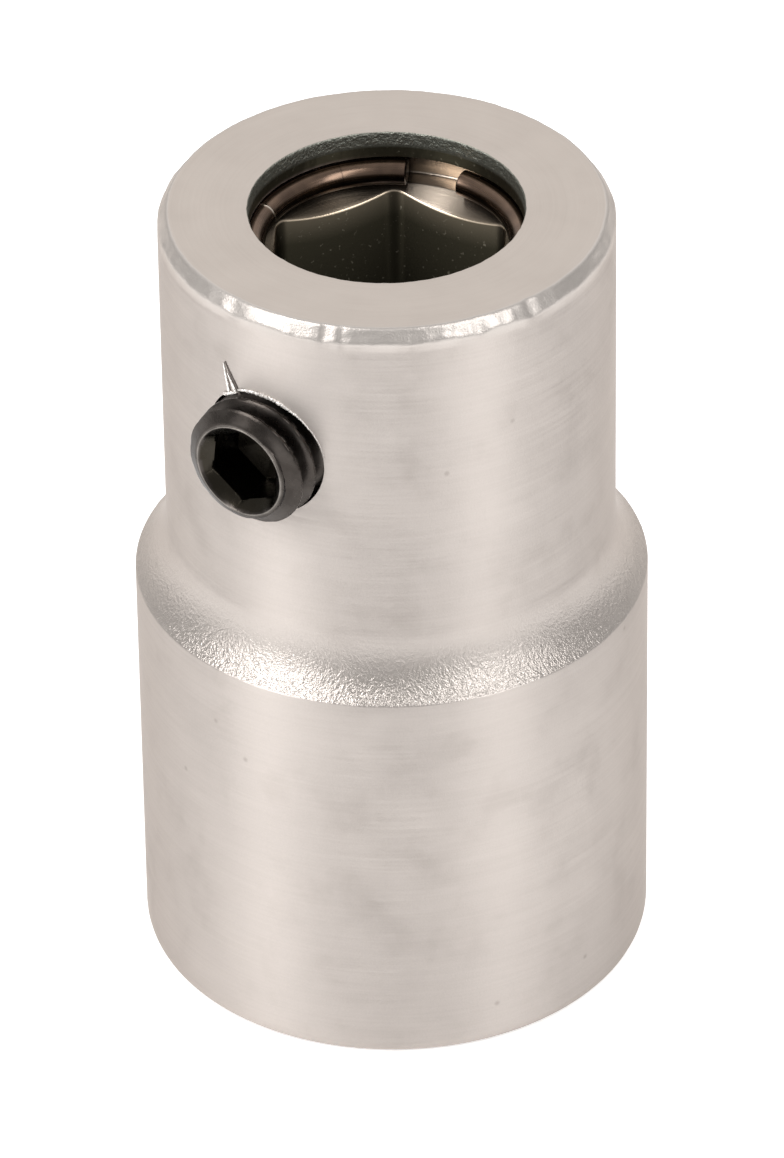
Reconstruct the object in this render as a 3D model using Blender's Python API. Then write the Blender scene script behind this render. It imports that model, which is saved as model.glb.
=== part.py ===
"""Drive adapter that takes a square drive at one end and a hexagonal bit at the other.

A stepped steel sleeve has a square drive socket in its wide lower end and a hexagonal bit socket
in its narrow upper end. A split wire ring sits in a groove inside the mouth, and a set screw goes
through the neck to clamp the bit. The origin is the centre of the drive end's face, +Z points out
of the bit socket, and the set screw points along -Y.
"""

from math import acos, cos, hypot, pi, radians, sin, tan

import bmesh
import bpy

MM = 0.001

# Sleeve, outside
HEIGHT = 38.0 * MM
BODY_RADIUS = 11.5 * MM
BODY_HEIGHT = 19.3 * MM
NECK_STEP = 1.45 * MM
SHOULDER_FILLET = 4.25 * MM
FOOT_EDGE_WIDTH = 0.45 * MM
FOOT_EDGE_HEIGHT = 0.75 * MM
TOP_EDGE_WIDTH = 0.45 * MM
TOP_EDGE_HEIGHT = 0.7 * MM

# Bit socket
HEX_FLAT_RADIUS = 5.05 * MM
HEX_CORNER_ROUND = 0.85 * MM
BIT_STOP_LEDGE = 0.85 * MM
WEB_THICKNESS = 4.0 * MM
MOUTH_STEP = 0.37 * MM
MOUTH_EDGE = 0.08 * MM
LAND_HEIGHT = 1.3 * MM
LEAD_IN_SLOPE = radians(30.0)

# Square drive socket
DRIVE_FLAT_RADIUS = 6.43 * MM
DRIVE_CORNER_ROUND = 0.6 * MM
DRIVE_DEPTH = 16.0 * MM
DRIVE_CHAMFER = 0.6 * MM
DETENT_HEIGHT = 8.0 * MM
DETENT_RADIUS = 3.0 * MM
DETENT_DEPTH = 0.6 * MM

# Retaining ring
WIRE_RADIUS = 0.6 * MM
RING_BITE = 0.35 * MM
RING_END_PLAY = 0.06 * MM
RING_ROOM_TO_OPEN = 0.4 * MM
RING_GAP_START = radians(89.3)
RING_GAP = radians(25.4)

# Set screw
SCREW_BELOW_TOP = 7.2 * MM
SCREW_LENGTH = 6.0 * MM
TIP_BEHIND_FLAT = 0.75 * MM
THREAD_RADIUS = 2.9 * MM
THREAD_PITCH = 1.0 * MM
THREAD_DEPTH = 0.6 * MM
THREAD_CREST_SHARE = 0.125
THREAD_ROOT_SHARE = 0.25
FIRST_CREST_DEPTH = 0.6 * MM
HOLE_CLEARANCE = 0.08 * MM
HOLE_EDGE = 0.06 * MM
HEAD_RIM_RADIUS = 2.2 * MM
HEAD_RIM_WIDTH = 0.07 * MM
HEAD_CONE_DEPTH = 0.35 * MM
KEY_FLAT_RADIUS = 1.6 * MM
KEY_DEPTH = 2.4 * MM
KEY_LEAD_IN = 0.5 * MM
KEY_TURN = radians(23.5)
TIP_RADIUS = 1.7 * MM
CUP_RADIUS = 1.3 * MM
CUP_FLOOR_RADIUS = 0.3 * MM
CUP_DEPTH = 0.6 * MM

# Mesh steps
BODY_STEPS = 72
FILLET_STEPS = 6
EDGE_STEPS = 3
CORNER_STEPS = 4
DETENT_STEPS = 16
RING_STEPS = 60
WIRE_STEPS = 12
SCREW_STEPS = 36
ROWS_PER_PITCH = 8
SMOOTH_ANGLE = radians(32.0)
CUT_PAST = 1.0 * MM

# Worked out from the sizes above
HEX_SIDES = 6
SQUARE_SIDES = 4
NECK_RADIUS = BODY_RADIUS - NECK_STEP
WEB_TOP = DRIVE_DEPTH + WEB_THICKNESS
WEB_HOLE_RADIUS = HEX_FLAT_RADIUS - BIT_STOP_LEDGE
HEX_CORNER_RADIUS = (HEX_FLAT_RADIUS - HEX_CORNER_ROUND) / cos(pi / HEX_SIDES) + HEX_CORNER_ROUND
MOUTH_RADIUS = HEX_CORNER_RADIUS + MOUTH_STEP
RING_RADIUS = HEX_CORNER_RADIUS + WIRE_RADIUS - RING_BITE
GROOVE_TOP = HEIGHT - LAND_HEIGHT
GROOVE_BOTTOM = GROOVE_TOP - 2.0 * (WIRE_RADIUS + RING_END_PLAY)
GROOVE_RADIUS = RING_RADIUS + WIRE_RADIUS + RING_ROOM_TO_OPEN
RING_HEIGHT = (GROOVE_TOP + GROOVE_BOTTOM) / 2.0
SCREW_HEIGHT = HEIGHT - SCREW_BELOW_TOP
SCREW_TIP = HEX_FLAT_RADIUS + TIP_BEHIND_FLAT
SCREW_HEAD = SCREW_TIP + SCREW_LENGTH
HOLE_RADIUS = THREAD_RADIUS + HOLE_CLEARANCE
QUARTER_TURN = pi / 2.0


def arc(centre, radii, start, end, steps):
    """Points (r, z) on an elliptical arc in a profile's plane."""
    points = []
    for step in range(steps + 1):
        angle = start + (end - start) * step / steps
        points.append((centre[0] + radii[0] * cos(angle), centre[1] + radii[1] * sin(angle)))
    return points


def rounded_polygon(sides, flat_radius, corner_round):
    """A regular polygon with round corners, and with flats that face +Y and -Y."""
    corner_centre = (flat_radius - corner_round) / cos(pi / sides)
    outline = []
    for side in range(sides):
        corner = QUARTER_TURN + (2 * side + 1) * pi / sides
        for step in range(CORNER_STEPS + 1):
            angle = corner + (2.0 * step / CORNER_STEPS - 1.0) * pi / sides
            x = corner_centre * cos(corner) + corner_round * cos(angle)
            y = corner_centre * sin(corner) + corner_round * sin(angle)
            outline.append((x, y))
    return outline


def circle(radius, z, steps):
    """A level ring of points about Z."""
    turns = [2.0 * pi * step / steps for step in range(steps)]
    return [(radius * cos(turn), radius * sin(turn), z) for turn in turns]


def new_object(name, bm):
    """Turn a closed bmesh into an object with its faces pointing out."""
    bmesh.ops.recalc_face_normals(bm, faces=bm.faces)
    mesh = bpy.data.meshes.new(name)
    bm.to_mesh(mesh)
    bm.free()
    obj = bpy.data.objects.new(name, mesh)
    bpy.context.scene.collection.objects.link(obj)
    return obj


def loft(name, rings):
    """A closed solid through rings of points that all have the same count."""
    bm = bmesh.new()
    loops = [[bm.verts.new(point) for point in ring] for ring in rings]
    for lower, upper in zip(loops, loops[1:]):
        for i in range(len(lower)):
            j = (i + 1) % len(lower)
            bm.faces.new((lower[i], lower[j], upper[j], upper[i]))
    bm.faces.new(loops[0])
    bm.faces.new(loops[-1])
    return new_object(name, bm)


def prism(name, sections):
    """A solid through level outlines, each given with its height."""
    return loft(name, [[(x, y, z) for x, y in outline] for outline, z in sections])


def rod(name, profile, steps):
    """A solid of revolution about Z through (r, z) points that stay off the axis."""
    return loft(name, [circle(radius, z, steps) for radius, z in profile])


def tube(name, profile, steps):
    """A hollow solid of revolution about Z from a closed loop of (r, z) points."""
    bm = bmesh.new()
    verts = [bm.verts.new((radius, 0.0, z)) for radius, z in profile]
    edges = [bm.edges.new(pair) for pair in zip(verts, verts[1:] + verts[:1])]
    centre = (0.0, 0.0, 0.0)
    axis = (0.0, 0.0, 1.0)
    loop = verts + edges
    bmesh.ops.spin(bm, geom=loop, cent=centre, axis=axis, angle=2.0 * pi, steps=steps, use_merge=True)
    return new_object(name, bm)


def point_along_screw(obj):
    """Stand a solid made about Z on the set screw's axis, with its +Z pointing out along -Y."""
    obj.location = (0.0, 0.0, SCREW_HEIGHT)
    obj.rotation_euler = (QUARTER_TURN, 0.0, 0.0)


def cut(obj, cutter):
    """Take the cutter's shape out of an object, and keep the cutter as a hidden guide."""
    cutter.hide_render = True
    cutter.display_type = "WIRE"
    boolean = obj.modifiers.new(cutter.name, "BOOLEAN")
    boolean.operation = "DIFFERENCE"
    boolean.solver = "EXACT"
    boolean.object = cutter


def finish(obj, colour, roughness):
    """Give a metal piece its material, and shade its round faces smooth."""
    material = bpy.data.materials.new(obj.name)
    material.use_nodes = True
    shader = material.node_tree.nodes["Principled BSDF"]
    shader.inputs["Base Color"].default_value = (*colour, 1.0)
    shader.inputs["Roughness"].default_value = roughness
    shader.inputs["Metallic"].default_value = 1.0
    obj.data.materials.append(material)
    obj.data.shade_smooth()
    obj.data.set_sharp_from_angle(angle=SMOOTH_ANGLE)


def sleeve_outside():
    """The outside half section, up from the foot: foot edge, shoulder fillet and top edge."""
    fillet_r = NECK_RADIUS + SHOULDER_FILLET
    fillet_start = acos((fillet_r - BODY_RADIUS) / SHOULDER_FILLET)
    fillet_z = BODY_HEIGHT + SHOULDER_FILLET * sin(fillet_start)
    foot_centre = (BODY_RADIUS - FOOT_EDGE_WIDTH, FOOT_EDGE_HEIGHT)
    foot = arc(foot_centre, (FOOT_EDGE_WIDTH, FOOT_EDGE_HEIGHT), -QUARTER_TURN, 0.0, EDGE_STEPS)
    fillet_radii = (SHOULDER_FILLET, SHOULDER_FILLET)
    shoulder = arc((fillet_r, fillet_z), fillet_radii, pi + fillet_start, pi, FILLET_STEPS)
    top_centre = (NECK_RADIUS - TOP_EDGE_WIDTH, HEIGHT - TOP_EDGE_HEIGHT)
    top = arc(top_centre, (TOP_EDGE_WIDTH, TOP_EDGE_HEIGHT), 0.0, QUARTER_TURN, EDGE_STEPS)
    return foot + shoulder + top


def sleeve_inside():
    """The inside half section, down from the mouth: land, ring groove, lead-in and web hole."""
    lead_in_drop = (MOUTH_RADIUS - WEB_HOLE_RADIUS) * tan(LEAD_IN_SLOPE)
    return [
        (MOUTH_RADIUS + MOUTH_EDGE, HEIGHT),
        (MOUTH_RADIUS, HEIGHT - MOUTH_EDGE),
        (MOUTH_RADIUS, GROOVE_TOP),
        (GROOVE_RADIUS, GROOVE_TOP),
        (GROOVE_RADIUS, GROOVE_BOTTOM),
        (MOUTH_RADIUS, GROOVE_BOTTOM),
        (WEB_HOLE_RADIUS, GROOVE_BOTTOM - lead_in_drop),
        (WEB_HOLE_RADIUS, 0.0),
    ]


def hex_socket_cutter():
    """The hexagon that the bit's shank fills, from the web up through the mouth."""
    outline = rounded_polygon(HEX_SIDES, HEX_FLAT_RADIUS, HEX_CORNER_ROUND)
    return prism("hex_socket_cutter", [(outline, WEB_TOP), (outline, HEIGHT + CUT_PAST)])


def square_drive_cutter():
    """The square that the driver fills, with a chamfered mouth in the foot."""
    outline = rounded_polygon(SQUARE_SIDES, DRIVE_FLAT_RADIUS, DRIVE_CORNER_ROUND)
    mouth = rounded_polygon(SQUARE_SIDES, DRIVE_FLAT_RADIUS + DRIVE_CHAMFER, DRIVE_CORNER_ROUND)
    sections = [(mouth, -CUT_PAST), (mouth, 0.0), (outline, DRIVE_CHAMFER), (outline, DRIVE_DEPTH)]
    return prism("square_drive_cutter", sections)


def detent_cutter(side):
    """The dimple in one flat of the square that the driver's ball snaps into."""
    bm = bmesh.new()
    bmesh.ops.create_uvsphere(bm, u_segments=DETENT_STEPS, v_segments=DETENT_STEPS, radius=DETENT_RADIUS)
    cutter = new_object(f"detent_cutter_{side + 1}", bm)
    centre = DRIVE_FLAT_RADIUS + DETENT_DEPTH - DETENT_RADIUS
    angle = side * 2.0 * pi / SQUARE_SIDES
    cutter.location = (centre * cos(angle), centre * sin(angle), DETENT_HEIGHT)
    return cutter


def screw_hole_cutter():
    """The set screw's hole through one flat of the hexagon, with a small outer chamfer."""
    profile = [
        (HOLE_RADIUS, HEX_FLAT_RADIUS - CUT_PAST),
        (HOLE_RADIUS, NECK_RADIUS - HOLE_EDGE),
        (HOLE_RADIUS + HOLE_EDGE + CUT_PAST, NECK_RADIUS + CUT_PAST),
    ]
    cutter = rod("screw_hole_cutter", profile, SCREW_STEPS)
    point_along_screw(cutter)
    return cutter


def make_socket_body():
    """The sleeve: turned outside, groove, both sockets and the set screw's hole in one piece."""
    body = tube("socket_body", sleeve_outside() + sleeve_inside(), BODY_STEPS)
    cut(body, hex_socket_cutter())
    cut(body, square_drive_cutter())
    for side in range(SQUARE_SIDES):
        cut(body, detent_cutter(side))
    cut(body, screw_hole_cutter())
    finish(body, colour=(0.62, 0.59, 0.56), roughness=0.35)


def make_retaining_ring():
    """The split ring of round wire, which can turn in its groove."""
    bm = bmesh.new()
    verts = []
    for step in range(WIRE_STEPS):
        around = 2.0 * pi * step / WIRE_STEPS
        radius = RING_RADIUS + WIRE_RADIUS * cos(around)
        verts.append(bm.verts.new((radius, 0.0, WIRE_RADIUS * sin(around))))
    section = [bm.edges.new(pair) for pair in zip(verts, verts[1:] + verts[:1])]
    centre = (0.0, 0.0, 0.0)
    axis = (0.0, 0.0, 1.0)
    bmesh.ops.spin(
        bm, geom=verts + section, cent=centre, axis=axis, angle=2.0 * pi - RING_GAP, steps=RING_STEPS
    )
    bmesh.ops.holes_fill(bm, edges=bm.edges, sides=WIRE_STEPS)
    ring = new_object("retaining_ring", bm)
    ring.location = (0.0, 0.0, RING_HEIGHT)
    ring.rotation_euler = (0.0, 0.0, RING_GAP_START + RING_GAP)
    finish(ring, colour=(0.16, 0.12, 0.10), roughness=0.3)


def thread_radius(turn, height):
    """The radius of a right-hand thread at one place on the screw."""
    pitches = (height - SCREW_HEAD + FIRST_CREST_DEPTH) / THREAD_PITCH - turn / (2.0 * pi)
    from_crest = abs((pitches + 0.5) % 1.0 - 0.5)
    flank_share = (1.0 - THREAD_CREST_SHARE - THREAD_ROOT_SHARE) / 2.0
    down_flank = (from_crest - THREAD_CREST_SHARE / 2.0) / flank_share
    return THREAD_RADIUS - THREAD_DEPTH * min(max(down_flank, 0.0), 1.0)


def screw_envelope(height):
    """The radius that the cones at the screw's head and tip allow."""
    head_share = (SCREW_HEAD - height) / HEAD_CONE_DEPTH
    head_cone = HEAD_RIM_RADIUS + (THREAD_RADIUS - HEAD_RIM_RADIUS) * head_share
    tip_cone = TIP_RADIUS + height - SCREW_TIP
    return min(head_cone, tip_cone)


def screw_rings():
    """The screw's surface, from the floor of its cup point up to its head."""
    rings = [
        circle(CUP_FLOOR_RADIUS, SCREW_TIP + CUP_DEPTH, SCREW_STEPS),
        circle(CUP_RADIUS, SCREW_TIP, SCREW_STEPS),
    ]
    rows = round(SCREW_LENGTH / THREAD_PITCH * ROWS_PER_PITCH)
    for row in range(rows + 1):
        height = SCREW_TIP + SCREW_LENGTH * row / rows
        ring = []
        for step in range(SCREW_STEPS):
            turn = 2.0 * pi * step / SCREW_STEPS
            radius = min(thread_radius(turn, height), screw_envelope(height))
            ring.append((radius * cos(turn), radius * sin(turn), height))
        rings.append(ring)
    return rings


def key_hexagon():
    """The key's outline, with points at equal angles so that it can run out into a round rim."""
    points = []
    for step in range(SCREW_STEPS):
        angle = 2.0 * pi * step / SCREW_STEPS
        from_flat = angle % (2.0 * pi / HEX_SIDES) - pi / HEX_SIDES
        radius = KEY_FLAT_RADIUS / cos(from_flat)
        points.append((radius * cos(angle + KEY_TURN), radius * sin(angle + KEY_TURN)))
    return points


def key_socket_cutter():
    """The hexagon that the key fills in the screw's head, with a lead-in that leaves a thin rim."""
    hexagon = key_hexagon()
    rim_radius = HEAD_RIM_RADIUS - HEAD_RIM_WIDTH
    rim = [(x * rim_radius / hypot(x, y), y * rim_radius / hypot(x, y)) for x, y in hexagon]
    sections = [
        (hexagon, SCREW_HEAD - KEY_DEPTH),
        (hexagon, SCREW_HEAD - KEY_LEAD_IN),
        (rim, SCREW_HEAD),
        (rim, SCREW_HEAD + CUT_PAST),
    ]
    cutter = prism("key_socket_cutter", sections)
    point_along_screw(cutter)
    return cutter


def make_set_screw():
    """The threaded screw, with a key socket in its head and a cup point at its tip."""
    screw = loft("set_screw", screw_rings())
    cut(screw, key_socket_cutter())
    point_along_screw(screw)
    finish(screw, colour=(0.06, 0.055, 0.05), roughness=0.4)


def main():
    for obj in list(bpy.data.objects):
        bpy.data.objects.remove(obj, do_unlink=True)
    make_socket_body()
    make_retaining_ring()
    make_set_screw()


main()
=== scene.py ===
"""Looks for the drive adapter: a fine sleeve, ring and set screw, their metals, studio and camera."""

from math import acos, cos, pi, radians, sin, tan

import bmesh
import bpy
import numpy as np
from mathutils import Matrix, Vector


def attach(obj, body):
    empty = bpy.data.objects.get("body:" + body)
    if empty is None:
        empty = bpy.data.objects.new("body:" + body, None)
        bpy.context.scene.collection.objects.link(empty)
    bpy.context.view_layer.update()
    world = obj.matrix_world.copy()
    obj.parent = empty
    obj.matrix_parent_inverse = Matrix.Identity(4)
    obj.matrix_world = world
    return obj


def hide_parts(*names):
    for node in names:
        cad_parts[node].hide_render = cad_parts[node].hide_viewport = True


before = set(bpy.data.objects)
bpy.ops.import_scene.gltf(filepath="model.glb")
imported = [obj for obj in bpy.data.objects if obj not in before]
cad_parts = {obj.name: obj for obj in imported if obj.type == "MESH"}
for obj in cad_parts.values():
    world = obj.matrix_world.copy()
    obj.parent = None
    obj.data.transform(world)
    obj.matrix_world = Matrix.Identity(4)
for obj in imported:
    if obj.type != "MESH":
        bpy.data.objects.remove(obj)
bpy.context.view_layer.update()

MM = 0.001

# Sleeve, outside
HEIGHT = 38.0 * MM
BODY_RADIUS = 11.5 * MM
BODY_HEIGHT = 19.3 * MM
NECK_RADIUS = 10.05 * MM
SHOULDER_FILLET = 4.25 * MM
FOOT_EDGE_WIDTH = 0.45 * MM
FOOT_EDGE_HEIGHT = 0.75 * MM
TOP_EDGE_WIDTH = 0.4 * MM
TOP_EDGE_HEIGHT = 0.6 * MM
TOP_EDGE_WIDTH_WANDER = 0.015 * MM
TOP_EDGE_HEIGHT_WANDER = 0.07 * MM
TOP_EDGE_WIDTH_LUMPS = 0.004 * MM
TOP_EDGE_HEIGHT_LUMPS = 0.014 * MM

# Sleeve, inside
HEX_FLAT_RADIUS = 5.05 * MM
HEX_CORNER_ROUND = 0.85 * MM
WEB_HOLE_RADIUS = 4.2 * MM
WEB_TOP = 20.0 * MM
MOUTH_RADIUS = 6.07 * MM
GROOVE_RADIUS = 6.95 * MM
GROOVE_TOP = 36.7 * MM
GROOVE_BOTTOM = 35.38 * MM
LEAD_IN_SLOPE = radians(30.0)
DRIVE_FLAT_RADIUS = 6.43 * MM
DRIVE_CORNER_ROUND = 0.6 * MM
DRIVE_DEPTH = 16.0 * MM
DRIVE_CHAMFER = 0.6 * MM
DETENT_HEIGHT = 8.0 * MM
DETENT_RADIUS = 3.0 * MM
DETENT_DEPTH = 0.6 * MM

# Where the sleeve's skin changes
SKIN = 0.01 * MM
BLAST_FULL = BODY_HEIGHT + 0.4 * MM
BLAST_END = BODY_HEIGHT + 2.9 * MM
SHOULDER_LUMPS_FULL = BODY_HEIGHT + 0.2 * MM
SHOULDER_LUMPS_END = BODY_HEIGHT + 2.4 * MM
EDGE_LUMPS_BOTTOM = HEIGHT - 0.85 * MM
EDGE_WEAR_END = HEIGHT - 0.8 * MM
LAND_WEAR_END = HEIGHT - 0.75 * MM
WEAR_FULL = HEIGHT - 0.6 * MM
LAND_LIMIT = MOUTH_RADIUS + 0.2 * MM
MOUTH_BOTTOM = GROOVE_BOTTOM - 1.2 * MM
GLINT_WIDTH = 0.05 * MM

# Retaining ring
WIRE_RADIUS = 0.6 * MM
RING_RADIUS = 5.95 * MM
RING_HEIGHT = 36.04 * MM
RING_GAP_START = radians(89.3)
RING_GAP = radians(25.4)
RING_BRIGHT_LINE_TURN = radians(189.8)
RING_SCRATCH_TURN = radians(144.5)
LIP_GLINT_TURN = radians(180.0)
LIP_GLINT_SPREAD = radians(35.0)
# How far from the ring's gap the cone's painted shade is lifted, as painted light
GAP_PAINTED_LIGHT_SPREAD = radians(20.0)
MARK_WIDTH = 0.05 * MM
SCRATCH_WIDTH = 0.025 * MM

# Set screw
SCREW_HEIGHT = 30.8 * MM
SCREW_TIP = 5.8 * MM
SCREW_LENGTH = 6.0 * MM
SCREW_HEAD = SCREW_TIP + SCREW_LENGTH
THREAD_RADIUS = 2.9 * MM
THREAD_PITCH = 1.0 * MM
THREAD_DEPTH = 0.6 * MM
THREAD_CREST_SHARE = 0.125
THREAD_ROOT_SHARE = 0.25
FIRST_CREST_DEPTH = 0.6 * MM
HOLE_RADIUS = 2.98 * MM
HEAD_RIM_RADIUS = 2.2 * MM
HEAD_RIM_WIDTH = 0.07 * MM
HEAD_CONE_DEPTH = 0.35 * MM
KEY_FLAT_RADIUS = 1.6 * MM
KEY_DEPTH = 2.4 * MM
KEY_LEAD_IN = 0.5 * MM
KEY_TURN = radians(23.5)
TIP_RADIUS = 1.7 * MM
CUP_RADIUS = 1.3 * MM
CUP_FLOOR_RADIUS = 0.3 * MM
CUP_DEPTH = 0.6 * MM

# Raised and torn metal at the screw's hole
BURR_TOP = SCREW_HEIGHT + HOLE_RADIUS
RIM_BURR_START = radians(118.0)
RIM_BURR_TURN = radians(108.0)
RIM_BURR_GAP = 0.06 * MM
# Size of the dark sliver painted as shadow beside the torn sliver
BURR_SHADOW_SIZE = 0.1 * MM

# Mesh steps
SLEEVE_STEPS = 480
SCREW_STEPS = 180
SCREW_ROWS_PER_PITCH = 24
RING_STEPS = 900
WIRE_STEPS = 32
EDGE_ROWS = 3
BURR_SIDES = 10
DETENT_STEPS = 64
DETENT_ROWS = 48

# Between the sleeve's outside and its bores
INSIDE_LIMIT = 9.4 * MM

# Camera
CAMERA_AZIMUTH = radians(33.8)
CAMERA_ELEVATION = radians(35.1)
CAMERA_DISTANCE = 401.4 * MM
CAMERA_ROLL = radians(-0.85)
CAMERA_AIM_HEIGHT = 18.1 * MM
LENS_MM = 277.5
SENSOR_MM = 36.0
NEAREST_SEEN = 0.01
FURTHEST_SEEN = 20.0

# Studio
SOFTBOX_HEIGHT = 0.4
SOFTBOX_DISTANCE = 0.5
SOFTBOX_ELEVATION = radians(42)
BRIGHT_SKY_ELEVATION = radians(35.0)
BRIGHT_SKY_FOCUS = 3.0
BRIGHT_SKY = 1.0
PLAIN_SKY = 0.5
FLOOR_HALF_WIDTH = 3.0
FLOOR_GLOW = 0.4
FLOOR_DROP = 0.02 * MM
FLOOR_WHITE = (0.94, 0.94, 0.94, 1.0)
WHITE = (1.0, 1.0, 1.0, 1.0)

# Colours of the sleeve
NICKEL = (0.52, 0.473, 0.441)
NICKEL_SHADE = (0.487, 0.443, 0.414)
NICKEL_LINE = (0.44, 0.395, 0.362)
NICKEL_GRAIN = (0.58, 0.53, 0.49)
NICKEL_CLOUD = (0.43, 0.385, 0.355)
NICKEL_RIM = (0.66, 0.62, 0.59, 1.0)
SMUDGE = (0.3, 0.265, 0.24)
SPECK = (0.16, 0.12, 0.1)
BLASTED_NICKEL = (0.43, 0.392, 0.362)
TOP_NICKEL = (0.478, 0.427, 0.386)
MOUTH_STEEL = (0.46, 0.385, 0.31)
# Painted shade on the lead-in cone under the ring
CONE_PAINTED_SHADE = (0.09, 0.072, 0.053)
# Dark bore steel, deepened with painted shade in the hexagon, the drive and the land's lower band
BORE_STEEL_AND_SHADE = (0.058, 0.052, 0.035)
BORE_GLINT = (0.5, 0.46, 0.36)
LAND_STEEL = (0.36, 0.365, 0.32)
LIP_GLINT = (0.8, 0.66, 0.62)
# Painted highlight on the raised metal round the screw's hole
BURR_PAINTED_HIGHLIGHT = (0.92, 0.88, 0.84)
# Painted shadow beside the torn sliver
PAINTED_BURR_SHADOW = (0.035, 0.022, 0.016)
HEX_EDGE_GLINT = (0.8, 0.66, 0.5)
WORN_EDGE = (0.5, 0.47, 0.44)

# Colours of the ring and the screw
WIRE_BROWN = (0.16, 0.108, 0.078)
WIRE_DARK_BROWN = (0.11, 0.075, 0.056)
# A bright line across the wire
WIRE_BRIGHT_LINE = (0.8, 0.7, 0.6)
# A dark scratch on the wire, and painted shade on its cut ends
WIRE_SCRATCH_AND_SHADE = (0.03, 0.02, 0.016)
OXIDE_BLACK = (0.042, 0.036, 0.032)
OXIDE_GREY = (0.07, 0.061, 0.055)
# Painted shade inside the screw's key socket
KEY_PAINTED_SHADE = (0.024, 0.021, 0.014)
OXIDE_RUBBED = (0.36, 0.33, 0.3)

# How fine each pattern is, per metre
LATHE_LINES = 9000.0
LATHE_DRIFT = 260.0
FINE_GRAIN = 12000.0
COARSE_GRAIN = 6200.0
CLOUDS = 420.0
WIDE_CLOUDS = 130.0
SMUDGES = 230.0
SPECKS = 520.0
BORE_GLINTS = 5200.0
LAND_PITS = 4200.0
WIRE_LINES = 12000.0
WIRE_DRIFT = 500.0
WIRE_CLOUDS = 1200.0
OXIDE_GRAIN = 7000.0
OXIDE_CLOUDS = 1100.0

# How deep each pattern is
LATHE_LINE_DEPTH = 0.001 * MM
FINE_GRAIN_DEPTH = 0.005 * MM
MOUTH_LINE_DEPTH = 0.005 * MM
BLAST_DEPTH = 0.05 * MM
BLAST_GRAIN_DEPTH = 0.02 * MM
LAND_PIT_DEPTH = 0.06 * MM
WIRE_LINE_DEPTH = 0.001 * MM
OXIDE_GRAIN_DEPTH = 0.004 * MM

# How rough each surface is, as one value or as a low and a high one
PLATED_ROUGHNESS = (0.44, 0.5)
BLASTED_ROUGHNESS = 0.28
EDGE_ROUGHNESS = 0.4
MOUTH_ROUGHNESS = 0.26
BORE_ROUGHNESS = 0.48
WIRE_ROUGHNESS = (0.2, 0.3)
OXIDE_ROUGHNESS = (0.24, 0.32)
FLOOR_ROUGHNESS = 0.9

QUARTER_TURN = pi / 2.0
TURNS = np.arange(SLEEVE_STEPS) * 2.0 * pi / SLEEVE_STEPS
CHANCE = np.random.default_rng(11)


# ---- fine meshes ----

def link(obj):
    bpy.context.scene.collection.objects.link(obj)
    return obj


def wander(turns, waves):
    """A smooth random line round a rim, from about -1 to 1, that closes on itself."""
    line = np.zeros_like(turns)
    for wave in waves:
        line += np.cos(wave * turns + CHANCE.uniform(0.0, 2.0 * pi)) * CHANCE.uniform(0.5, 1.0)
    return line / len(waves) ** 0.5


def polygon_radius(turns, sides, flat_radius, corner_round):
    """How far a round-cornered polygon, with flats that face +Y and -Y, reaches at each turn."""
    half = pi / sides
    from_flat = (turns - QUARTER_TURN + half) % (2.0 * half) - half
    from_corner = half - np.abs(from_flat)
    corner_centre = (flat_radius - corner_round) / cos(half)
    round_end = np.arctan2(corner_round * sin(half), corner_centre + corner_round * cos(half))
    across = corner_centre * np.sin(np.minimum(from_corner, round_end))
    on_round = corner_centre * np.cos(from_corner) + np.sqrt(corner_round**2 - across**2)
    return np.where(from_corner < round_end, on_round, flat_radius / np.cos(from_flat))


def soften(corners):
    """Rows of (radius, height) at every turn through a closed run of corners with soft edges."""
    points = [np.array(np.broadcast_arrays(radius, z, TURNS)[:2], float) for radius, z, _, _ in corners]
    starts = []
    ends = []
    for i, (point, (_, _, edge_size, _)) in enumerate(zip(points, corners)):
        before = points[i - 1] - point
        after = points[(i + 1) % len(points)] - point
        starts.append(point + before / np.hypot(*before) * edge_size)
        ends.append(point + after / np.hypot(*after) * edge_size)
    rows = []
    for i, (point, (_, _, edge_size, rows_on)) in enumerate(zip(points, corners)):
        if edge_size > 0.0:
            for step in range(EDGE_ROWS):
                t = step / EDGE_ROWS
                rows.append((1 - t) ** 2 * starts[i] + 2 * t * (1 - t) * point + t**2 * ends[i])
        following = starts[(i + 1) % len(points)]
        for step in range(rows_on):
            rows.append(ends[i] + (following - ends[i]) * step / rows_on)
    return np.array(rows)


def grid_faces(rows, steps, closed):
    """Quads between rows of points, and back to the first row where the surface closes on itself."""
    lower = np.arange(rows if closed else rows - 1)[:, None] * steps
    upper = (lower + steps) % (rows * steps)
    here = np.arange(steps)[None, :]
    there = (here + 1) % steps
    return np.stack([lower + here, lower + there, upper + there, upper + here], axis=-1).reshape(-1, 4)


def mesh_object(name, points, faces):
    mesh = bpy.data.meshes.new(name)
    mesh.from_pydata(points.tolist(), [], faces)
    bm = bmesh.new()
    bm.from_mesh(mesh)
    bmesh.ops.recalc_face_normals(bm, faces=bm.faces)
    bm.to_mesh(mesh)
    bm.free()
    return link(bpy.data.objects.new(name, mesh))


def paint(obj, name, values):
    """Keep one number per vertex with the mesh, for its material to read."""
    attribute = obj.data.attributes.new(name, "FLOAT", "POINT")
    attribute.data.foreach_set("value", np.asarray(values, np.float32).ravel())


def shade(obj, angle):
    obj.data.shade_smooth()
    obj.data.set_sharp_from_angle(angle=angle)


def ramp(values, low, high):
    """0 below low and 1 above high, or the other way round where low is the larger."""
    return np.clip((values - low) / (high - low), 0.0, 1.0)


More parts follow.
